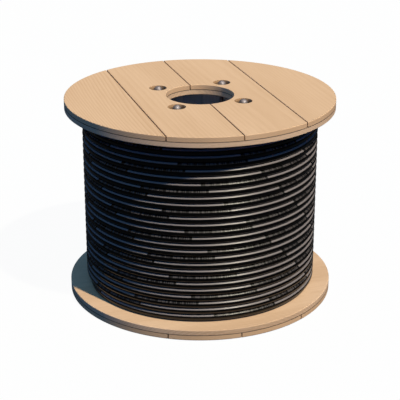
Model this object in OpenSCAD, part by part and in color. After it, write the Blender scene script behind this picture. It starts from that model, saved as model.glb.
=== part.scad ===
// Wooden cable drum standing on one flange, with a full winding of round cable.
// Millimetres. Origin at the bottom centre, +Z up the drum axis, outer boards run along Y.

/* [Flanges] */
// Diameter of both flanges
flange_d = 630; // [600:5:720]
// Height of the drum from outer face to outer face
drum_h = 476; // [400:1:560]
// Thickness of the outer boards
board_t = 12; // [10.5:0.5:16]
// Thickness of the inner disc of each flange
disc_t = 12; // [10:0.5:16]
// Distance between the joints of the boards
joint_step = 159; // [150:0.5:165]
// Gap between neighbouring boards
board_gap = 2.5; // [1:0.25:4]
// Diameter of the spindle bore through both flanges
bore_d = 158; // [120:1:174]
// Rounding of the sawn rim and bore edges
edge_round = 1.5; // [0.5:0.25:2.5]
// Rounding of the edges where the boards meet the disc
ply_round = 0.8; // [0.4:0.1:1.5]
// Bevel along the edges of the boards at their joints
joint_bevel = 0.8; // [0.4:0.1:1.5]

/* [Barrel] */
// Diameter of the barrel over the corners of its staves
barrel_d = 315; // [285:1:360]
// Thickness of a stave
stave_t = 18; // [14:0.5:22]
// Number of staves round the barrel
stave_count = 18; // [14:1:22]
// Gap between neighbouring staves
stave_gap = 0.5; // [0.3:0.1:1.5]
// Depth of the ring groove that takes the stave ends
groove_depth = 5; // [3:0.5:7]
// Clearance beside the staves in the groove
groove_clear = 0.3; // [0.2:0.05:0.5]

/* [Cable] */
// Outside diameter of the cable
cable_d = 15.7; // [10:0.1:25]
// Outside diameter of the winding
winding_d = 551; // [450:1:590]
// Clearance between the winding and the barrel
winding_clear = 0.3; // [0.2:0.05:0.5]

/* [Tie bolts] */
// Diameter of the bolt circle
bolt_circle_d = 224; // [222:1:240]
// Diameter of the bolt shank
bolt_d = 10; // [8:0.5:10.5]
// Clearance round the bolt in the wood
bolt_clear = 0.3; // [0.2:0.05:0.6]
// Diameter of the domed bolt head
head_d = 20.5; // [17:0.5:24]
// Height of the bolt head over its seat
head_h = 18.75; // [15:0.25:20]
// Height of the dome on top of the head
dome_h = 9; // [5:0.25:9.5]
// Width of the square neck under the head
neck_w = 11; // [10.75:0.25:13]
// Height of the square neck
neck_h = 6; // [4:0.5:8]
// Diameter of the round recesses for heads and nuts
recess_d = 41; // [36:0.5:46]
// Depth of the recesses for the heads in the top flange
head_recess = 14; // [12.5:0.25:15]
// Depth of the recesses for the nuts in the bottom flange
nut_recess = 9; // [8.5:0.25:10]
// Diameter of the washer under the nut
washer_d = 30; // [22:0.5:36]
// Thickness of the washer
washer_t = 2; // [1.5:0.1:2.5]
// Width of the nut across its flats
nut_flats = 16; // [14:0.5:19]
// Height of the nut
nut_h = 5; // [4:0.1:5.4]
// Length of bolt past the nut
bolt_past_nut = 1; // [0.5:0.1:1.4]
// Clearance of washer and nut round the bolt
thread_clear = 0.15; // [0.1:0.05:0.3]

/* [Hidden] */
$fn = 96;
board_count = 4;
bolt_count = 4;
wood_outer = [0.86, 0.70, 0.52];
wood_inner = [0.80, 0.64, 0.47];
wood_stave = [0.74, 0.60, 0.45];
cable_black = [0.06, 0.06, 0.07];
zinc = [0.68, 0.67, 0.69];

flange_t = board_t + disc_t;
inner_w = drum_h - 2 * flange_t;
barrel_r = barrel_d / 2;
stave_half = 180 / stave_count;
stave_out = barrel_r * cos(stave_half);
stave_in = stave_out - stave_t;
bolt_r = bolt_circle_d / 2;
head_seat = drum_h - head_recess;
washer_top = nut_recess;
nut_top = washer_top - washer_t;
bolt_end = nut_top - nut_h - bolt_past_nut;
cable_r = cable_d / 2;
winding_r = winding_d / 2;
winding_in = barrel_r + winding_clear;
turns = floor(inner_w / cable_d);
layers = floor((winding_r - winding_in) / cable_d);
winding_z0 = flange_t;
winding_z1 = flange_t + turns * cable_d;
valley = 0.25 * cable_r;
eps = 0.5;

// Rounded corner of a turned section, from angle a0 to a0 + 90
function corner(x, y, r, a0) =
    [for (a = [0:30:90]) [x + r * cos(a0 + a), y + r * sin(a0 + a)]];

// Ring of wood with its rim and bore edges rounded, lower face at z = 0
module wood_ring(t, low_round, high_round) {
    r0 = bore_d / 2;
    r1 = flange_d / 2;
    rotate_extrude($fn = 180)
        polygon(concat(
            corner(r0 + low_round, low_round, low_round, 180),
            corner(r1 - low_round, low_round, low_round, 270),
            corner(r1 - high_round, t - high_round, high_round, 0),
            corner(r0 + high_round, t - high_round, high_round, 90)
        ));
}

// Clearance for one tie bolt through both flanges, with the recesses at its ends
module bolt_way() {
    translate([0, 0, -eps])
        cylinder(d = bolt_d + 2 * bolt_clear, h = drum_h + 2 * eps);
    translate([0, 0, head_seat])
        cylinder(d = recess_d, h = head_recess + eps);
    translate([0, 0, -eps])
        cylinder(d = recess_d, h = nut_recess + eps);
    neck = neck_w + 2 * bolt_clear;
    translate([-neck / 2, -neck / 2, head_seat - neck_h - bolt_clear])
        cube([neck, neck, neck_h + bolt_clear + eps]);
}

module at_bolt(i) {
    rotate([0, 0, 45 + (i - 1) * 360 / bolt_count])
        translate([bolt_r, 0, 0])
            rotate([0, 0, -45])
                children();
}

module bolt_ways() {
    for (i = [1:bolt_count])
        at_bolt(i) bolt_way();
}

// Section of one board across its width, bevelled along its upper edges
module board_strip(i) {
    x0 = i == 1 ? -flange_d / 2 - eps : (i - 1 - board_count / 2) * joint_step + board_gap / 2;
    x1 = i == board_count ? flange_d / 2 + eps : (i - board_count / 2) * joint_step - board_gap / 2;
    b = joint_bevel;
    rotate([90, 0, 0])
        linear_extrude(height = flange_d + 2 * eps, center = true)
            polygon([
                [x0, -eps],
                [x1, -eps],
                [x1, board_t - b],
                [x1 - b, board_t],
                [x1 - b, board_t + eps],
                [x0 + b, board_t + eps],
                [x0 + b, board_t],
                [x0, board_t - b]
            ]);
}

// One outer board of a flange, inner face at z = 0 and outer face up
module flange_board(i) {
    intersection() {
        wood_ring(board_t, ply_round, edge_round);
        board_strip(i);
    }
}

module top_board(i) {
    color(wood_outer)
        difference() {
            translate([0, 0, drum_h - board_t])
                flange_board(i);
            bolt_ways();
        }
}

module bottom_board(i) {
    color(wood_outer)
        difference() {
            translate([0, 0, board_t])
                rotate([0, 180, 0])
                    flange_board(board_count + 1 - i);
            bolt_ways();
        }
}

// Ring groove for the stave ends, floor at z = 0
module stave_groove() {
    rotate_extrude($fn = 180)
        translate([stave_in - groove_clear, 0])
            square([barrel_r - stave_in + 2 * groove_clear, groove_depth + eps]);
}

module top_inner_disc() {
    color(wood_inner)
        difference() {
            translate([0, 0, drum_h - flange_t])
                wood_ring(disc_t, edge_round, ply_round);
            translate([0, 0, drum_h - flange_t - eps])
                stave_groove();
            bolt_ways();
        }
}

module bottom_inner_disc() {
    color(wood_inner)
        difference() {
            translate([0, 0, board_t])
                wood_ring(disc_t, ply_round, edge_round);
            translate([0, 0, flange_t - groove_depth])
                stave_groove();
            bolt_ways();
        }
}

module barrel_stave(i) {
    w_out = 2 * stave_out * tan(stave_half) - stave_gap;
    w_in = 2 * stave_in * tan(stave_half) - stave_gap;
    color(wood_stave)
        rotate([0, 0, (i - 1) * 2 * stave_half])
            translate([0, 0, flange_t - groove_depth])
                linear_extrude(height = inner_w + 2 * groove_depth)
                    polygon([
                        [stave_in, -w_in / 2],
                        [stave_out, -w_out / 2],
                        [stave_out, w_out / 2],
                        [stave_in, w_in / 2]
                    ]);
}

// Part of a ball above a flat seat at z = 0
module dome(d, h) {
    ball = (d * d / 4 + h * h) / (2 * h);
    intersection() {
        translate([0, 0, h - ball])
            sphere(r = ball);
        cylinder(d = d + 2 * ball, h = h + eps);
    }
}

module tie_bolt(i) {
    color(zinc)
        at_bolt(i) {
            translate([0, 0, head_seat])
                cylinder(d = head_d, h = head_h - dome_h);
            translate([0, 0, head_seat + head_h - dome_h])
                dome(head_d, dome_h);
            translate([-neck_w / 2, -neck_w / 2, head_seat - neck_h])
                cube([neck_w, neck_w, neck_h]);
            translate([0, 0, bolt_end])
                cylinder(d = bolt_d, h = head_seat - bolt_end);
        }
}

module tie_washer(i) {
    color(zinc)
        at_bolt(i)
            translate([0, 0, nut_top])
                difference() {
                    cylinder(d = washer_d, h = washer_t);
                    translate([0, 0, -eps])
                        cylinder(d = bolt_d + 2 * thread_clear, h = washer_t + 2 * eps);
                }
}

module tie_nut(i) {
    corners_d = nut_flats / cos(30);
    color(zinc)
        at_bolt(i)
            translate([0, 0, nut_top - nut_h])
                difference() {
                    intersection() {
                        linear_extrude(height = nut_h)
                            circle(d = corners_d, $fn = 6);
                        cylinder(d1 = 0.95 * nut_flats, d2 = nut_flats + 4 * nut_h, h = nut_h);
                    }
                    translate([0, 0, -eps])
                        cylinder(d = bolt_d + 2 * thread_clear, h = nut_h + 2 * eps);
                }
}

// Section of the winding: a plain core edged by rows of round turns
module winding_section() {
    z_mid = winding_z0 + cable_r;
    r_mid = winding_r - cable_r;
    translate([winding_in, z_mid - valley])
        square([r_mid + valley - winding_in, winding_z1 - winding_z0 - cable_d + 2 * valley]);
    for (k = [0:turns - 1])
        translate([r_mid, z_mid + k * cable_d])
            circle(r = cable_r, $fn = 48);
    for (j = [1:layers - 1])
        for (z = [z_mid, winding_z1 - cable_r])
            translate([r_mid - j * cable_d, z])
                circle(r = cable_r, $fn = 48);
}

module cable_winding() {
    color(cable_black)
        rotate_extrude($fn = 180)
            winding_section();
}

for (i = [1:board_count])
    top_board(i);
top_inner_disc();
bottom_inner_disc();
for (i = [1:board_count])
    bottom_board(i);
for (i = [1:stave_count])
    barrel_stave(i);
for (i = [1:bolt_count])
    tie_bolt(i);
for (i = [1:bolt_count])
    tie_washer(i);
for (i = [1:bolt_count])
    tie_nut(i);
cable_winding();
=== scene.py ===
"""Looks of a wooden cable drum: wood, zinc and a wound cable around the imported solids."""

import math

import bpy
import numpy as np
from bpy.props import FloatProperty, FloatVectorProperty, IntProperty, PointerProperty
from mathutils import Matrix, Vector


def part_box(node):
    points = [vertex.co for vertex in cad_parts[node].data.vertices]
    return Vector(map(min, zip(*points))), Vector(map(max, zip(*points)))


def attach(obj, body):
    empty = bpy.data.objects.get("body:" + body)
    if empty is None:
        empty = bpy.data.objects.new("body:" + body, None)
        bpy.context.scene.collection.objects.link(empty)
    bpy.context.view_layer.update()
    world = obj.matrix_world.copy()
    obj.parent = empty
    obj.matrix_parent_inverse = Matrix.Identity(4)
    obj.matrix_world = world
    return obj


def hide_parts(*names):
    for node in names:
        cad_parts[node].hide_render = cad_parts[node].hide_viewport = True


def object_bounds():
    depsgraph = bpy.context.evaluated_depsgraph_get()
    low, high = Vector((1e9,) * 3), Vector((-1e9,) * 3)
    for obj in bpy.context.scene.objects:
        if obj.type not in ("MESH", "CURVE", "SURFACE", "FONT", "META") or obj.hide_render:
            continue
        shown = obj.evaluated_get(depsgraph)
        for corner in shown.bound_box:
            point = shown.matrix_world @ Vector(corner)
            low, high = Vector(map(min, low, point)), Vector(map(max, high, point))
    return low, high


bl_info = {
    "name": "Cable Drum",
    "version": (1, 0, 0),
    "blender": (4, 5, 0),
    "location": "View3D > Sidebar > Cable Drum",
    "description": "Finishes a wooden cable drum and winds its cable",
    "category": "Object",
}

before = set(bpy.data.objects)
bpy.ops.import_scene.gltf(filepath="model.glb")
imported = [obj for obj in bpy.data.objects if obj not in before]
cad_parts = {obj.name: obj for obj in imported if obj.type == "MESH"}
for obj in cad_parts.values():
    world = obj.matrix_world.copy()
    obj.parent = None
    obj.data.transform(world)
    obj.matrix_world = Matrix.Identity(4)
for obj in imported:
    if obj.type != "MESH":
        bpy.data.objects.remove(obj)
CAD_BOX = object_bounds()

# Radii of the flanges, of the winding and of the barrel over the corners of its staves
FLANGE_RADIUS = CAD_BOX[1].x
WINDING_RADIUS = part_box("cable_winding")[1].x
BARREL_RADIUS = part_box("barrel_stave_1")[1].xy.length

# Centre of a tie bolt, and distance from the middle joint of the boards to the next one
BOLT_CENTRE = sum(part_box("tie_bolt_1"), Vector()) / 2
JOINT_STEP = -(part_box("top_board_1")[1].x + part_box("top_board_2")[0].x) / 2

# Heights of the flanges' inner faces, of the seams between their layers and of their outer faces
INNER_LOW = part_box("bottom_inner_disc")[1].z
INNER_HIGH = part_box("top_inner_disc")[0].z
PLY_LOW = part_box("bottom_inner_disc")[0].z
PLY_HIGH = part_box("top_inner_disc")[1].z
FACE_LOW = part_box("bottom_board_1")[0].z
FACE_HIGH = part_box("top_board_1")[1].z

# Turns of the layer below that are made at each flange, and the turns' worth of rings at the top one
BELOW_TURNS = 2.2
BELOW_RINGS = 2.4

# End of the tuck and start of the layer below, both past the last turn and in ramps
TUCK_RUN = 1.6
BELOW_START = 1.8

# Sides of the ring that fills the winding
HIDDEN_SIDES = 128

# Plain white, which changes nothing as a tint
WHITE = (1.0, 1.0, 1.0)

# Share of the wood's colour that is left in shaded places
SHADED = {
    "Seam": (0.22, 0.22, 0.24),
    "Recess": (0.82, 0.78, 0.72),
    "Floor": (0.06, 0.06, 0.06),
}

# Sizes of the stage, with the sensor in millimetres
FLOOR_SIZE = 60.0
FLOOR_DROP = 0.0005
KEY_DISTANCE = 3.0
SENSOR_WIDTH = 36.0
CAMERA_REACH = 200.0


class CableSettings(bpy.types.PropertyGroup):
    """Sizes and colours of the wound cable."""

    diameter: FloatProperty(
        name="Diameter",
        description="Outside diameter of the cable",
        default=0.0157,
        unit="LENGTH",
    )
    pitch: FloatProperty(
        name="Pitch",
        description="Rise of the cable in one turn",
        default=0.01572,
        unit="LENGTH",
    )
    layer_step: FloatProperty(
        name="Layer Step",
        description="Radius from one layer of cable to the next",
        default=0.0146,
        unit="LENGTH",
    )
    front_height: FloatProperty(
        name="Front Height",
        description="Height of the lowest turn at the front",
        default=0.0341,
        unit="LENGTH",
    )
    front_angle: FloatProperty(
        name="Front Angle",
        description="Direction of the front round the drum axis",
        default=math.radians(-107.3),
        subtype="ANGLE",
    )
    ramp: FloatProperty(
        name="Ramp",
        description="Angle in which the cable climbs to the next layer",
        default=math.radians(60),
        subtype="ANGLE",
    )
    steps: IntProperty(name="Steps", description="Rings of the tube in one turn", default=120)
    sides: IntProperty(name="Sides", description="Bevel resolution of the tube", default=5)
    mark_period: FloatProperty(
        name="Mark Period",
        description="Length from one marked stretch to the next",
        default=0.4541,
        unit="LENGTH",
    )
    mark_start: FloatProperty(
        name="Mark Start",
        description="Length from the front to the first marked stretch",
        default=0.0299,
        unit="LENGTH",
    )
    mark_length: FloatProperty(
        name="Mark Length",
        description="Length of a marked stretch",
        default=0.1518,
        unit="LENGTH",
    )
    dash_step: FloatProperty(
        name="Dash Step",
        description="Length from one dash to the next",
        default=0.0046,
        unit="LENGTH",
    )
    dash_ink: FloatProperty(
        name="Dash Ink",
        description="Strength of the dashes against the line",
        default=0.38,
        subtype="FACTOR",
        min=0,
        max=1,
    )
    mark_margin: FloatProperty(
        name="Mark Margin",
        description="Bare length at each end of a marked stretch",
        default=0.006,
        unit="LENGTH",
    )
    line_low: FloatProperty(
        name="Line Low",
        description="Angle of the lower edge of the printed line above the outward side",
        default=math.radians(33),
        subtype="ANGLE",
    )
    line_high: FloatProperty(
        name="Line High",
        description="Angle of the upper edge of the printed line above the outward side",
        default=math.radians(66),
        subtype="ANGLE",
    )
    line_soft: FloatProperty(
        name="Line Soft",
        description="Angle in which an edge of the printed line fades",
        default=math.radians(16),
        subtype="ANGLE",
    )
    sheath: FloatVectorProperty(
        name="Sheath",
        description="Colour of the sheath",
        subtype="COLOR",
        default=(0.0022, 0.002, 0.002),
        min=0,
        max=1,
    )
    ink: FloatVectorProperty(
        name="Ink",
        description="Colour of the printed line and dashes",
        subtype="COLOR",
        default=(0.252, 0.213, 0.206),
        min=0,
        max=1,
    )


class WoodSettings(bpy.types.PropertyGroup):
    """Colours and figure of the flanges and the barrel."""

    pale: FloatVectorProperty(
        name="Pale Wood",
        description="Colour of the early wood, before a tint",
        subtype="COLOR",
        default=(0.893, 0.563, 0.337),
        min=0,
        max=1,
    )
    brown: FloatVectorProperty(
        name="Brown Wood",
        description="Colour of the late wood, before a tint",
        subtype="COLOR",
        default=(0.722, 0.427, 0.233),
        min=0,
        max=1,
    )
    disc_tint: FloatVectorProperty(
        name="Disc Tint",
        description="Tint of the inner discs against the boards",
        subtype="COLOR",
        default=(1.0, 1.05, 1.15),
        min=0,
        max=3,
    )
    # The staves' grey-blue tint paints the blue shade of the bore into their colour
    stave_shade_tint: FloatVectorProperty(
        name="Stave Tint",
        description="Tint of the greyed staves against the boards",
        subtype="COLOR",
        default=(0.66, 1.1, 2.05),
        min=0,
        max=3,
    )
    stave_strip: FloatProperty(
        name="Stave Strip",
        description="Width of a strip with a figure of its own on the staves",
        default=0.05,
        unit="LENGTH",
    )
    recess: FloatProperty(
        name="Recess",
        description="Radius of the bolt recesses",
        default=0.0205,
        unit="LENGTH",
    )
    # The dark seam is painted shade between the layers of a flange
    seam: FloatProperty(
        name="Seam",
        description="Height of the dark seam between the layers of a flange",
        default=0.0024,
        unit="LENGTH",
    )
    ring_spacing: FloatProperty(
        name="Ring Spacing",
        description="Distance between growth rings",
        default=0.0045,
        unit="LENGTH",
    )


class ZincSettings(bpy.types.PropertyGroup):
    """Colour of the tie bolts, washers and nuts."""

    zinc: FloatVectorProperty(
        name="Zinc",
        description="Colour of the plated steel",
        subtype="COLOR",
        default=(0.45, 0.41, 0.455),
        min=0,
        max=1,
    )
    dulled: FloatProperty(
        name="Dulled",
        description="Share of the colour that is left where the plating has dulled",
        default=0.72,
        subtype="FACTOR",
        min=0,
        max=1,
    )


class StageSettings(bpy.types.PropertyGroup):
    """Camera, light and floor."""

    azimuth: FloatProperty(
        name="Azimuth",
        description="Direction of the camera round the drum",
        default=math.radians(-17.3),
        subtype="ANGLE",
    )
    elevation: FloatProperty(
        name="Elevation",
        description="Height of the camera above the horizon",
        default=math.radians(21.52),
        subtype="ANGLE",
    )
    distance: FloatProperty(
        name="Distance",
        description="Distance from the camera to its target",
        default=2.928,
        unit="LENGTH",
    )
    target_height: FloatProperty(
        name="Target Height",
        description="Height of the point the camera looks at",
        default=0.212,
        unit="LENGTH",
    )
    lens: FloatProperty(
        name="Lens",
        description="Focal length in millimetres",
        default=109.73,
        unit="CAMERA",
    )
    key_side: FloatProperty(
        name="Key Side",
        description="Direction of the key light, to the right of the camera",
        default=math.radians(45),
        subtype="ANGLE",
    )
    key_lift: FloatProperty(
        name="Key Lift",
        description="Height of the key light above the horizon",
        default=math.radians(55),
        subtype="ANGLE",
    )
    key_spread: FloatProperty(
        name="Key Spread",
        description="Angle of the key light's disc, which softens the shadows",
        default=math.radians(2.0),
        subtype="ANGLE",
    )
    key_strength: FloatProperty(name="Key", description="Strength of the key light", default=3.3)
    key_colour: FloatVectorProperty(
        name="Key Colour",
        description="Colour of the key light",
        subtype="COLOR",
        default=(1.0, 0.935, 0.74),
        min=0,
        max=1,
    )
    fill_high: FloatVectorProperty(
        name="High Fill",
        description="Colour of the light from above",
        subtype="COLOR",
        default=(0.085, 0.235, 0.4),
        min=0,
        max=1,
    )
    fill_low: FloatVectorProperty(
        name="Low Fill",
        description="Colour of the light from the horizon",
        subtype="COLOR",
        default=(0.012, 0.075, 0.38),
        min=0,
        max=1,
    )
    fill_top: FloatProperty(
        name="Fill Top",
        description="Sine of the height from which the fill has its high colour",
        default=0.8,
        subtype="FACTOR",
        min=0,
        max=1,
    )
    floor: FloatVectorProperty(
        name="Floor",
        description="Colour of the floor",
        subtype="COLOR",
        default=(0.8, 0.8, 0.8),
        min=0,
        max=1,
    )
    floor_bounce: FloatProperty(
        name="Floor Bounce",
        description="Share of light that the floor throws back on the drum",
        default=0.03,
        subtype="FACTOR",
        min=0,
        max=1,
    )
    floor_white: FloatProperty(
        name="Floor White",
        description="Share of plain white in the floor as it is seen",
        default=0.96,
        subtype="FACTOR",
        min=0,
        max=1,
    )
    rim_lip: FloatProperty(
        name="Rim Lip",
        description="Distance from the rim inwards at which the floor falls dark under the drum",
        default=0.0015,
        unit="LENGTH",
    )
    floor_gloss: FloatProperty(
        name="Floor Gloss",
        description="Share of the white floor that shows in gloss",
        default=0.01,
        subtype="FACTOR",
        min=0,
        max=1,
    )
    sky_gloss: FloatProperty(
        name="Sky Gloss",
        description="Share of the white backdrop that shows in gloss overhead",
        default=0.35,
        subtype="FACTOR",
        min=0,
        max=1,
    )
    gloss_from: FloatProperty(
        name="Gloss From",
        description="Sine of the height at which the backdrop starts to show in gloss",
        default=0.2,
        subtype="FACTOR",
        min=0,
        max=1,
    )


def node(tree, kind, *feeds, named=None, **settings):
    """Adds a shader node and feeds its inputs, in order and by name, with values or sockets."""
    new = tree.nodes.new("ShaderNode" + kind)
    for key, value in settings.items():
        setattr(new, key, value)
    pairs = list(zip(new.inputs, feeds))
    pairs += [(new.inputs[key], feed) for key, feed in (named or {}).items()]
    for socket, feed in pairs:
        if isinstance(feed, bpy.types.NodeSocket):
            tree.links.new(feed, socket)
        elif feed is not None:
            socket.default_value = feed
    return new


def maths(tree, operation, *feeds):
    """Adds a Math node and returns its result."""
    return node(tree, "Math", *feeds, operation=operation).outputs[0]


def plus(tree, first, second):
    """Adds two values."""
    return maths(tree, "ADD", first, second)


def minus(tree, first, second):
    """Takes the second value from the first."""
    return maths(tree, "SUBTRACT", first, second)


def times(tree, first, second):
    """Multiplies two values."""
    return maths(tree, "MULTIPLY", first, second)


def over(tree, first, second):
    """Divides the first value by the second."""
    return maths(tree, "DIVIDE", first, second)


def ramp(tree, value, start, end, low=0.0, high=1.0):
    """Eases a value from low at start to high at end."""
    feeds = (value, start, end, low, high)
    return node(tree, "MapRange", *feeds, interpolation_type="SMOOTHSTEP").outputs[0]


def stretch(tree, vector, scale):
    """Scales a position along each axis."""
    return node(tree, "VectorMath", vector, scale, operation="MULTIPLY").outputs[0]


def noise(tree, vector, scale, detail=2.0, roughness=0.5):
    """Adds a noise texture and returns its value."""
    feeds = {"Vector": vector, "Scale": scale, "Detail": detail, "Roughness": roughness}
    return node(tree, "TexNoise", named=feeds).outputs[0]


def streaks(tree, vector, scale, detail=2.0, roughness=0.5):
    """Adds a noise texture with its own scale along each axis."""
    return noise(tree, stretch(tree, vector, scale), 1.0, detail, roughness)


def blend(tree, factor, first, second, kind="MIX"):
    """Mixes two colours."""
    new = node(tree, "Mix", data_type="RGBA", blend_type=kind)
    for key, feed in ((0, factor), (6, first), (7, second)):
        if isinstance(feed, bpy.types.NodeSocket):
            tree.links.new(feed, new.inputs[key])
        else:
            new.inputs[key].default_value = feed if key == 0 else (*feed[:3], 1.0)
    return new.outputs[2]


def bump(tree, shader, height, strength, distance):
    """Roughens a shader's normal."""
    feeds = {"Strength": strength, "Distance": distance, "Height": height}
    tree.links.new(node(tree, "Bump", named=feeds).outputs[0], shader.inputs["Normal"])


def effect(name, inputs, outputs):
    """Makes an empty shader node group with the sockets named."""
    tree = bpy.data.node_groups.new(name, "ShaderNodeTree")
    for label, kind in inputs:
        tree.interface.new_socket(label, in_out="INPUT", socket_type="NodeSocket" + kind)
    for label, kind in outputs:
        tree.interface.new_socket(label, in_out="OUTPUT", socket_type="NodeSocket" + kind)
    given = tree.nodes.new("NodeGroupInput").outputs
    made = tree.nodes.new("NodeGroupOutput").inputs
    return tree, given, made


def finish(name):
    """Makes a material and returns it with its tree and its Principled shader."""
    material = bpy.data.materials.new(name)
    material.use_nodes = True
    tree = material.node_tree
    return material, tree, tree.nodes["Principled BSDF"]


def wood_figure():
    """Growth rings, fibres and tone of sawn wood, with the grain along Y."""
    level_height = 0.2
    log_shift = (7.0, 7.0, 7.0)
    pith_aside = 0.3
    pith_wander = 0.09
    pith_depth = 0.08
    pith_depth_spread = 0.16
    ring_ripple = 0.004
    ring_share = 0.2
    bold_share = 0.2
    bold_board = -1.5
    fibre_share = 0.3
    tone_share = 0.3
    board_share = 0.14
    mean_share = 0.33
    smooth = 0.52
    fibre_rough = 0.16
    fibre_height = 0.7
    ring_height = 0.3
    tree, given, made = effect(
        "Wood Figure",
        [
            ("Vector", "Vector"),
            ("Pale", "Color"),
            ("Brown", "Color"),
            ("Ring Spacing", "Float"),
            ("Board Width", "Float"),
            ("Contrast", "Float"),
        ],
        [("Color", "Color"), ("Roughness", "Float"), ("Height", "Float")],
    )
    place, width = given["Vector"], given["Board Width"]
    x, _, z = node(tree, "SeparateXYZ", place).outputs

    # Each board of each flange is sawn from its own place in the log
    board = maths(tree, "FLOOR", over(tree, x, width))
    level = maths(tree, "FLOOR", over(tree, z, level_height))
    cell = node(tree, "CombineXYZ", board, level).outputs[0]
    chance = node(tree, "TexWhiteNoise", cell, noise_dimensions="3D").outputs["Color"]
    chance_x, chance_y, chance_z = node(tree, "SeparateXYZ", chance).outputs
    shift = stretch(tree, chance, log_shift)
    shifted = node(tree, "VectorMath", place, shift, operation="ADD").outputs[0]

    # Rings lie round the pith, which wanders along the board
    wander = streaks(tree, shifted, (2.0, 1.1, 2.0), detail=1.0)
    ripple = streaks(tree, shifted, (30.0, 4.0, 30.0))
    middle = times(tree, plus(tree, board, 0.5), width)
    across = minus(tree, x, middle)
    across = plus(tree, across, times(tree, minus(tree, chance_x, 0.5), pith_aside))
    across = plus(tree, across, times(tree, minus(tree, wander, 0.5), pith_wander))
    depth = plus(tree, minus(tree, z, times(tree, level, level_height)), pith_depth)
    depth = plus(tree, depth, times(tree, chance_y, pith_depth_spread))
    pith = plus(tree, times(tree, across, across), times(tree, depth, depth))
    pith = plus(tree, maths(tree, "SQRT", pith), times(tree, ripple, ring_ripple))
    ring = maths(tree, "FRACT", over(tree, pith, given["Ring Spacing"]))
    late = times(tree, ramp(tree, ring, 0.2, 0.85), ramp(tree, ring, 0.88, 1.0, 1.0, 0.0))

    # Share of brown in the colour
    fibre = streaks(tree, shifted, (900.0, 14.0, 900.0), detail=3.0, roughness=0.6)
    tone = streaks(tree, shifted, (11.0, 1.8, 11.0))
    bold = maths(tree, "LESS_THAN", board, bold_board)
    share = times(tree, late, plus(tree, ring_share, times(tree, bold, bold_share)))
    share = plus(tree, share, times(tree, ramp(tree, fibre, 0.35, 0.75), fibre_share))
    share = plus(tree, share, times(tree, ramp(tree, tone, 0.25, 0.75), tone_share))
    share = plus(tree, share, times(tree, minus(tree, chance_z, 0.5), board_share))
    share = times(tree, minus(tree, share, mean_share), given["Contrast"])
    share = plus(tree, share, mean_share)
    tree.links.new(blend(tree, share, given["Pale"], given["Brown"]), made["Color"])
    tree.links.new(plus(tree, smooth, times(tree, fibre, fibre_rough)), made["Roughness"])
    height = plus(tree, times(tree, fibre, fibre_height), times(tree, late, ring_height))
    tree.links.new(height, made["Height"])
    return tree


def wood_shade():
    """Masks of painted shade in the seams and joints, in the bolt recesses and on the recesses' floors
    and deep walls.
    """
    recess_margin = 1.01
    deepest_wall = 0.65
    tree, given, made = effect(
        "Wood Shade",
        [
            ("Vector", "Vector"),
            ("Seam", "Float"),
            ("Recess", "Float"),
            ("Board Width", "Float"),
            ("Joints", "Float"),
        ],
        [("Seam", "Float"), ("Recess", "Float"), ("Floor", "Float")],
    )
    x, y, z = node(tree, "SeparateXYZ", given["Vector"]).outputs

    # Painted shade in the seams between the layers of a flange and in the joints between its boards
    away = [maths(tree, "ABSOLUTE", minus(tree, z, ply)) for ply in (PLY_LOW, PLY_HIGH)]
    away = over(tree, maths(tree, "MINIMUM", *away), given["Seam"])
    seam = ramp(tree, away, 0.2, 0.6, 1.0, 0.0)
    board = maths(tree, "PINGPONG", x, over(tree, given["Board Width"], 2.0))
    joint = ramp(tree, over(tree, board, given["Seam"]), 0.48, 0.56, 1.0, 0.0)
    joint = times(tree, joint, given["Joints"])
    tree.links.new(maths(tree, "MAXIMUM", seam, joint), made["Seam"])

    # Painted shade in the bolt recesses, folded onto one bolt, darkest on their floors and deep walls
    aside = [(x, abs(BOLT_CENTRE.x)), (y, abs(BOLT_CENTRE.y))]
    aside = [minus(tree, maths(tree, "ABSOLUTE", a), bolt) for a, bolt in aside]
    out = maths(tree, "SQRT", plus(tree, *[times(tree, a, a) for a in aside]))
    recess = maths(tree, "LESS_THAN", over(tree, out, given["Recess"]), recess_margin)
    tree.links.new(recess, made["Recess"])
    deep = maths(tree, "MINIMUM", minus(tree, FACE_HIGH, z), minus(tree, z, FACE_LOW))
    deep = ramp(tree, over(tree, deep, given["Recess"]), 0.1, 0.45, 0.0, deepest_wall)
    facing = node(tree, "SeparateXYZ", node(tree, "NewGeometry").outputs["Normal"]).outputs[2]
    lying = ramp(tree, maths(tree, "ABSOLUTE", facing), 0.4, 0.8)
    tree.links.new(times(tree, recess, maths(tree, "MAXIMUM", deep, lying)), made["Floor"])
    return tree


def tinted(colour, tint):
    """Multiplies a colour by a tint and gives it a full alpha."""
    return (*[a * b for a, b in zip(colour, tint)], 1.0)


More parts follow.
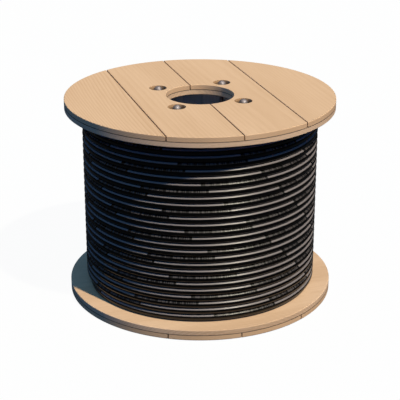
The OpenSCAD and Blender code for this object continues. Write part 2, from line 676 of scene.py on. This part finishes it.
def wood(name, groups, settings, width, turn=(0.0, 0.0, 0.0), joints=0.0, contrast=1.1, tint=WHITE):
    """Bare wood whose grain runs along Y, turned as asked, with shade painted into its seams and
    recesses, and into the joints between boards if asked.
    """
    figure, shade = groups
    material, tree, shader = finish(name)
    place = node(tree, "TexCoord").outputs["Object"]
    turned = node(tree, "Mapping", named={"Vector": place, "Rotation": turn}).outputs[0]
    grain_feeds = {
        "Vector": turned,
        "Pale": tinted(settings.pale, tint),
        "Brown": tinted(settings.brown, tint),
        "Ring Spacing": settings.ring_spacing,
        "Board Width": width,
        "Contrast": contrast,
    }
    grain = node(tree, "Group", node_tree=figure, named=grain_feeds).outputs
    shade_feeds = {
        "Vector": place,
        "Seam": settings.seam,
        "Recess": settings.recess,
        "Board Width": width,
        "Joints": joints,
    }
    masks = node(tree, "Group", node_tree=shade, named=shade_feeds).outputs
    colour = grain["Color"]
    # Shade painted into the seams, joints and recesses, darkest on the recesses' floors
    for mask, share in SHADED.items():
        shaded = blend(tree, 1.0, colour, share, "MULTIPLY")
        colour = blend(tree, masks[mask], colour, shaded)
    tree.links.new(colour, shader.inputs["Base Color"])
    tree.links.new(grain["Roughness"], shader.inputs["Roughness"])
    bump(tree, shader, grain["Height"], strength=0.25, distance=0.0008)
    shader.inputs["Specular IOR Level"].default_value = 0.25
    return material


def dress(names, material):
    """Puts a material on CAD nodes."""
    for name in names:
        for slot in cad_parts[name].material_slots:
            slot.material = material


class DRUM_OT_wood(bpy.types.Operator):
    """Finish the boards, discs and staves in bare wood"""

    bl_idname = "drum.wood"
    bl_label = "Finish Wood"

    def execute(self, context):
        settings = context.scene.drum_wood
        groups = wood_figure(), wood_shade()
        quarter = math.pi / 2
        boards = wood("board_wood", groups, settings, JOINT_STEP, joints=1.0)
        discs = wood(
            "disc_wood",
            groups,
            settings,
            width=1.0,
            turn=(0.0, 0.0, quarter),
            contrast=2.8,
            tint=settings.disc_tint,
        )
        # The staves' tint is painted blue shade of the bore
        staves = wood(
            "stave_wood",
            groups,
            settings,
            width=settings.stave_strip,
            turn=(quarter, 0.0, 0.0),
            tint=settings.stave_shade_tint,
        )
        dress([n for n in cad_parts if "_board_" in n], boards)
        dress([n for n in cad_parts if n.endswith("_inner_disc")], discs)
        dress([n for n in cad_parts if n.startswith("barrel_stave")], staves)
        return {"FINISHED"}


class DRUM_OT_zinc(bpy.types.Operator):
    """Finish the tie bolts, washers and nuts in zinc"""

    bl_idname = "drum.zinc"
    bl_label = "Finish Tie Bolts"

    def execute(self, context):
        settings = context.scene.drum_zinc
        smooth = 0.56
        bloom_rough = 0.16
        material, tree, shader = finish("zinc_plate")
        place = node(tree, "TexCoord").outputs["Object"]
        bloom = noise(tree, place, scale=260.0, detail=3.0, roughness=0.6)
        dull = [c * settings.dulled for c in settings.zinc]
        colour = blend(tree, ramp(tree, bloom, 0.35, 0.7), settings.zinc, dull)
        tree.links.new(colour, shader.inputs["Base Color"])
        rough = plus(tree, smooth, times(tree, bloom, bloom_rough))
        tree.links.new(rough, shader.inputs["Roughness"])
        shader.inputs["Metallic"].default_value = 1.0
        bump(tree, shader, bloom, strength=0.15, distance=0.0003)
        dress([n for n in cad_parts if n.startswith("tie_")], material)
        return {"FINISHED"}


def printed(tree, settings, run, turn):
    """Masks of the band along the sheath, of the pale line in it and of the dashes that interrupt it."""
    soft = settings.line_soft / math.tau / 2
    low, high = settings.line_low / math.tau, settings.line_high / math.tau
    band = ramp(tree, turn, high - soft, high + soft, 1.0, 0.0)
    band = times(tree, band, ramp(tree, turn, low - soft, low + soft))

    # The run is counted from far before the cable, so that it is positive
    periods_before = 100
    start = periods_before * settings.mark_period - settings.mark_start
    since = maths(tree, "MODULO", plus(tree, run, start), settings.mark_period)
    line = maths(tree, "GREATER_THAN", since, settings.mark_length)
    inside = maths(tree, "GREATER_THAN", since, settings.mark_margin)
    last = settings.mark_length - settings.mark_margin
    inside = times(tree, inside, maths(tree, "LESS_THAN", since, last))

    # Dashes of uneven length and strength
    count = over(tree, since, settings.dash_step)
    each = maths(tree, "FLOOR", count)
    chance = node(tree, "TexWhiteNoise", None, each, noise_dimensions="1D").outputs
    length = ramp(tree, chance["Value"], 0.1, 0.9, 0.4, 0.9)
    dash = maths(tree, "LESS_THAN", maths(tree, "FRACT", count), length)
    strength = node(tree, "SeparateXYZ", chance["Color"]).outputs[1]
    dash = times(tree, dash, ramp(tree, strength, 0.1, 0.5))
    dash = times(tree, dash, inside)
    wide = ramp(tree, band, 0.0, 0.4)
    return band, times(tree, line, band), times(tree, dash, wide)


def sheath(settings):
    """Black sheath with a pale line along its upper side."""
    smooth = 0.14
    drawn_rough = 0.06
    cloud_rough = 0.06
    band_rough = 0.165
    material, tree, shader = finish("cable_sheath")
    uv = node(tree, "UVMap", uv_map="run").outputs[0]
    run, turn, _ = node(tree, "SeparateXYZ", uv).outputs
    place = node(tree, "TexCoord").outputs["Object"]
    band, line, dash = printed(tree, settings, run, turn)
    drawn = streaks(tree, uv, (60.0, 40.0, 1.0), detail=3.0, roughness=0.6)
    cloud = noise(tree, place, scale=24.0, detail=3.0, roughness=0.6)
    worn = streaks(tree, uv, (500.0, 160.0, 1.0), detail=2.0, roughness=0.6)
    ink = maths(tree, "MAXIMUM", line, times(tree, dash, settings.dash_ink))
    ink = times(tree, ink, ramp(tree, worn, 0.2, 0.5, 0.8, 1.0))
    tree.links.new(blend(tree, ink, settings.sheath, settings.ink), shader.inputs["Base Color"])
    rough = plus(tree, smooth, times(tree, drawn, drawn_rough))
    rough = plus(tree, rough, times(tree, cloud, cloud_rough))
    rough = plus(tree, rough, times(tree, band, band_rough))
    tree.links.new(rough, shader.inputs["Roughness"])
    bump(tree, shader, drawn, strength=0.3, distance=0.0003)
    shader.inputs["Specular IOR Level"].default_value = 0.44
    return material


def dusty_sheath(settings):
    """Dull black of the layers inside the winding."""
    dust_gain = 3
    material, tree, shader = finish("hidden_cable")
    place = node(tree, "TexCoord").outputs["Object"]
    dust = noise(tree, place, scale=60.0, detail=3.0, roughness=0.6)
    dusty = [dust_gain * c for c in settings.sheath]
    tree.links.new(blend(tree, dust, settings.sheath, dusty), shader.inputs["Base Color"])
    tree.links.new(ramp(tree, dust, 0.3, 0.7, 0.6, 0.8), shader.inputs["Roughness"])
    return material


def winding_limits(settings):
    """Radius of the outer layer and heights of its lowest and highest turns, to the cable's centre."""
    half = settings.diameter / 2
    return WINDING_RADIUS - half, INNER_LOW + half, INNER_HIGH - half


def angle_at(settings, height):
    """Angle from the front at which the outer layer reaches a height."""
    return (height - settings.front_height) / settings.pitch * math.tau


def ease(t):
    """Smooth step from 0 to 1."""
    t = np.clip(t, 0, 1)
    return t**2 * (3 - 2 * t)


def wound_path(settings):
    """Centre line of the outer layer of cable, its climb at the bottom and its tucked end at the top."""
    outer, low, high = winding_limits(settings)
    first, last = angle_at(settings, low), angle_at(settings, high)
    start = first - settings.ramp - BELOW_TURNS * math.tau
    end = last + TUCK_RUN * settings.ramp
    count = int((end - start) / math.tau * settings.steps) + 1
    angle = np.linspace(start, end, count)
    climb = ease((angle - first + settings.ramp) / settings.ramp)
    tuck = ease((angle - last) / settings.ramp)
    radius = outer - settings.layer_step + settings.layer_step * (climb - tuck)
    height = settings.front_height + settings.pitch * angle / math.tau
    before = low + settings.pitch * (first - settings.ramp - angle) / math.tau
    height = np.where(angle < first, np.maximum(low, before), np.minimum(height, high))
    return angle, radius, height


def under_path(settings):
    """Centre line of the start of the layer below, at the top flange."""
    outer, _, high = winding_limits(settings)
    inner = outer - settings.layer_step
    begin = angle_at(settings, high) + BELOW_START * settings.ramp
    count = int(BELOW_RINGS * settings.steps)
    angle = np.linspace(begin - settings.ramp, begin + BELOW_TURNS * math.tau, count)
    rise = np.clip((angle - begin + settings.ramp) / settings.ramp, 0, 1)
    radius = inner - settings.layer_step * (1 - rise) ** 2
    height = high - settings.pitch * np.clip(angle - begin, 0, None) / math.tau
    return angle, radius, height


def sweep(name, points, settings):
    """Sweeps a closed tube of cable along a row of points."""
    bpy.ops.object.select_all(action="DESELECT")
    bpy.ops.curve.primitive_nurbs_path_add()
    piece = bpy.context.object
    piece.name = name
    piece.location = (0.0, 0.0, 0.0)
    curve = piece.data
    curve.splines.clear()
    spline = curve.splines.new("POLY")
    spline.points.add(len(points) - 1)
    spline.points.foreach_set("co", np.hstack([points, np.ones((len(points), 1))]).ravel())
    curve.twist_mode = "Z_UP"
    curve.bevel_depth = settings.diameter / 2
    curve.bevel_resolution = settings.sides
    bpy.ops.object.convert(target="MESH")
    bpy.ops.object.mode_set(mode="EDIT")
    bpy.ops.mesh.select_all(action="SELECT")
    bpy.ops.mesh.fill_holes(sides=0)
    bpy.ops.object.mode_set(mode="OBJECT")
    bpy.ops.object.shade_smooth()
    return bpy.context.object


def measure_run(mesh, points, path):
    """Writes the run along the cable and the turn round it into a UV map."""
    angle, radius, height = path
    around = len(mesh.vertices) // len(points)
    if around * len(points) != len(mesh.vertices):
        raise RuntimeError(f"{len(mesh.vertices)} vertices on {len(points)} rings of cable")
    place = np.zeros(len(mesh.vertices) * 3)
    mesh.vertices.foreach_get("co", place)
    place = place.reshape(-1, 3)
    ring = np.arange(len(place)) // around
    steps = np.linalg.norm(np.diff(points, axis=0), axis=1)
    along = np.concatenate([[0.0], np.cumsum(steps)])
    along -= np.interp(0.0, angle, along)
    out = np.hypot(place[:, 0], place[:, 1]) - radius[ring]
    turn = np.arctan2(place[:, 2] - height[ring], out) / math.tau
    corner = np.zeros(len(mesh.loops), np.int32)
    mesh.loops.foreach_get("vertex_index", corner)
    u, v = along[ring[corner]], turn[corner]

    # A face that crosses the inner side keeps its turn in one piece
    quarter = 0.25
    face = np.repeat(np.arange(len(mesh.polygons)), [p.loop_total for p in mesh.polygons])
    top = np.full(len(mesh.polygons), -1.0)
    np.maximum.at(top, face, v)
    v = np.where((top[face] > quarter) & (v < -quarter), v + 1.0, v)
    for layer in list(mesh.uv_layers):
        mesh.uv_layers.remove(layer)
    mesh.uv_layers.new(name="run").data.foreach_set("uv", np.stack([u, v], axis=1).ravel())


def fit_cable(piece, material):
    """Gives a piece of cable its material and puts it in the place of the winding."""
    piece.data.materials.clear()
    piece.data.materials.append(material)
    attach(piece, "root")
    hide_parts("cable_winding")


def wind(name, path, settings, material):
    """Winds cable along a path round the drum."""
    angle, radius, height = path
    turned = angle + settings.front_angle
    points = np.stack([radius * np.cos(turned), radius * np.sin(turned), height], axis=1)
    piece = sweep(name, points, settings)
    measure_run(piece.data, points, path)
    fit_cable(piece, material)


def fill_inside(settings, material):
    """Closes the space between the barrel and the outer layer with a ring for the hidden layers."""
    outer, _, _ = winding_limits(settings)
    radius = outer - settings.layer_step
    gap = settings.diameter / 4
    depth = INNER_HIGH - INNER_LOW - gap
    middle = (0.0, 0.0, (INNER_LOW + INNER_HIGH) / 2)
    bpy.ops.object.select_all(action="DESELECT")
    bpy.ops.mesh.primitive_cylinder_add(
        vertices=HIDDEN_SIDES, radius=radius, depth=depth, location=middle
    )
    bpy.ops.object.transform_apply(location=True)
    piece = bpy.context.object
    piece.name = "cable_hidden_layers"
    bpy.ops.object.mode_set(mode="EDIT")
    bpy.ops.mesh.select_mode(type="FACE")
    bpy.ops.mesh.select_all(action="DESELECT")
    bpy.ops.object.mode_set(mode="OBJECT")
    for face in piece.data.polygons:
        looks_up_or_down = abs(face.normal.z) > 0.5
        face.select = looks_up_or_down
    bpy.ops.object.mode_set(mode="EDIT")
    bpy.ops.mesh.inset(thickness=radius - BARREL_RADIUS, use_individual=True)
    bpy.ops.mesh.bridge_edge_loops()
    bpy.ops.mesh.select_all(action="SELECT")
    bpy.ops.mesh.normals_make_consistent(inside=False)
    bpy.ops.object.mode_set(mode="OBJECT")
    bpy.ops.object.shade_smooth_by_angle()
    fit_cable(piece, material)


class DRUM_OT_cable(bpy.types.Operator):
    """Wind the cable on the barrel"""

    bl_idname = "drum.cable"
    bl_label = "Wind Cable"

    def execute(self, context):
        settings = context.scene.drum_cable
        material = sheath(settings)
        wind("cable_outer_layer", wound_path(settings), settings, material)
        wind("cable_layer_below", under_path(settings), settings, material)
        fill_inside(settings, dusty_sheath(settings))
        return {"FINISHED"}


def towards(across, lift):
    """Direction from the drum to a point round it, with zero across at -Y."""
    flat = math.cos(lift)
    return Vector((math.sin(across) * flat, -math.cos(across) * flat, math.sin(lift)))


class DRUM_OT_stage(bpy.types.Operator):
    """Set the floor, the light and the camera"""

    bl_idname = "drum.stage"
    bl_label = "Set Stage"

    def execute(self, context):
        scene = context.scene
        settings = scene.drum_stage
        scene.view_settings.view_transform = "Standard"
        self.floor(settings)
        self.key_light(settings)
        self.fill_light(scene, settings)
        self.camera(scene, settings)
        return {"FINISHED"}

    def floor(self, settings):
        """Lays a white floor that is dark right under the drum and clear from below."""
        bpy.ops.object.select_all(action="DESELECT")
        bpy.ops.mesh.primitive_plane_add(size=FLOOR_SIZE, location=(0.0, 0.0, -FLOOR_DROP))
        floor = bpy.context.object
        floor.name = "floor"
        material, tree, shader = finish("pale_floor")
        tree.nodes.remove(shader)
        path = node(tree, "LightPath").outputs
        clear = maths(tree, "MAXIMUM", path["Is Camera Ray"], path["Is Transmission Ray"])
        dark = [c * settings.floor_bounce for c in settings.floor]
        diffuse = node(tree, "BsdfDiffuse", blend(tree, clear, dark, settings.floor)).outputs[0]
        white = node(tree, "Emission", (*WHITE, 1.0), 1.0).outputs[0]
        place = node(tree, "TexCoord").outputs["Object"]
        away = node(tree, "VectorMath", place, operation="LENGTH").outputs["Value"]
        beside = maths(tree, "GREATER_THAN", away, FLANGE_RADIUS - settings.rim_lip)
        seen = times(tree, times(tree, clear, beside), settings.floor_white)
        seen = plus(tree, seen, times(tree, path["Is Glossy Ray"], settings.floor_gloss))
        mixed = node(tree, "MixShader", seen, diffuse, white).outputs[0]
        below = node(tree, "NewGeometry").outputs["Backfacing"]
        nothing = node(tree, "BsdfTransparent").outputs[0]
        mixed = node(tree, "MixShader", below, mixed, nothing).outputs[0]
        tree.links.new(mixed, tree.nodes["Material Output"].inputs["Surface"])
        floor.data.materials.append(material)

    def key_light(self, settings):
        """Adds the warm key light."""
        to_key = towards(settings.azimuth + settings.key_side, settings.key_lift)
        bpy.ops.object.light_add(type="SUN", location=to_key * KEY_DISTANCE)
        key = bpy.context.object
        key.name = "key"
        key.rotation_euler = to_key.to_track_quat("Z", "Y").to_euler()
        key.data.energy = settings.key_strength
        key.data.color = settings.key_colour
        key.data.angle = settings.key_spread

    def fill_light(self, scene, settings):
        """Fills the shade with blue, and shows white to the camera and overhead in gloss."""
        world = bpy.data.worlds.new("fill")
        scene.world = world
        world.use_nodes = True
        tree = world.node_tree
        up = node(tree, "SeparateXYZ", node(tree, "TexCoord").outputs["Generated"]).outputs[2]
        high = ramp(tree, up, 0.0, settings.fill_top)
        sky = blend(tree, high, settings.fill_low, settings.fill_high)
        path = node(tree, "LightPath").outputs
        gloss = times(tree, ramp(tree, up, settings.gloss_from, 1.0), settings.sky_gloss)
        gloss = node(tree, "CombineXYZ", gloss, gloss, gloss).outputs[0]
        sky = blend(tree, path["Is Glossy Ray"], sky, gloss)
        clear = maths(tree, "MAXIMUM", path["Is Camera Ray"], path["Is Transmission Ray"])
        sky = blend(tree, clear, sky, WHITE)
        tree.links.new(sky, tree.nodes["Background"].inputs["Color"])

    def camera(self, scene, settings):
        """Adds the camera."""
        back = towards(settings.azimuth, settings.elevation)
        target = Vector((0.0, 0.0, settings.target_height))
        bpy.ops.object.camera_add(location=target + back * settings.distance)
        camera = bpy.context.object
        camera.rotation_euler = back.to_track_quat("Z", "Y").to_euler()
        camera.data.lens = settings.lens
        camera.data.sensor_width = SENSOR_WIDTH
        camera.data.clip_end = CAMERA_REACH
        scene.camera = camera


class DRUM_PT_panel(bpy.types.Panel):
    """Steps that finish the drum"""

    bl_idname = "DRUM_PT_panel"
    bl_label = "Cable Drum"
    bl_space_type = "VIEW_3D"
    bl_region_type = "UI"
    bl_category = "Cable Drum"

    def draw(self, context):
        for step in ("drum.stage", "drum.wood", "drum.zinc", "drum.cable"):
            self.layout.operator(step)


SETTINGS = {
    "drum_cable": CableSettings,
    "drum_wood": WoodSettings,
    "drum_zinc": ZincSettings,
    "drum_stage": StageSettings,
}
CLASSES = (
    *SETTINGS.values(),
    DRUM_OT_wood,
    DRUM_OT_zinc,
    DRUM_OT_cable,
    DRUM_OT_stage,
    DRUM_PT_panel,
)


def register():
    """Registers the classes and puts the settings on the scene."""
    for cls in CLASSES:
        bpy.utils.register_class(cls)
    for name, group in SETTINGS.items():
        setattr(bpy.types.Scene, name, PointerProperty(type=group))


def unregister():
    """Takes the settings off the scene and the classes out again."""
    for name in SETTINGS:
        delattr(bpy.types.Scene, name)
    for cls in reversed(CLASSES):
        bpy.utils.unregister_class(cls)


def main():
    """Runs every step in order."""
    register()
    bpy.ops.drum.stage()
    bpy.ops.drum.wood()
    bpy.ops.drum.zinc()
    bpy.ops.drum.cable()


if __name__ == "__main__":
    main()
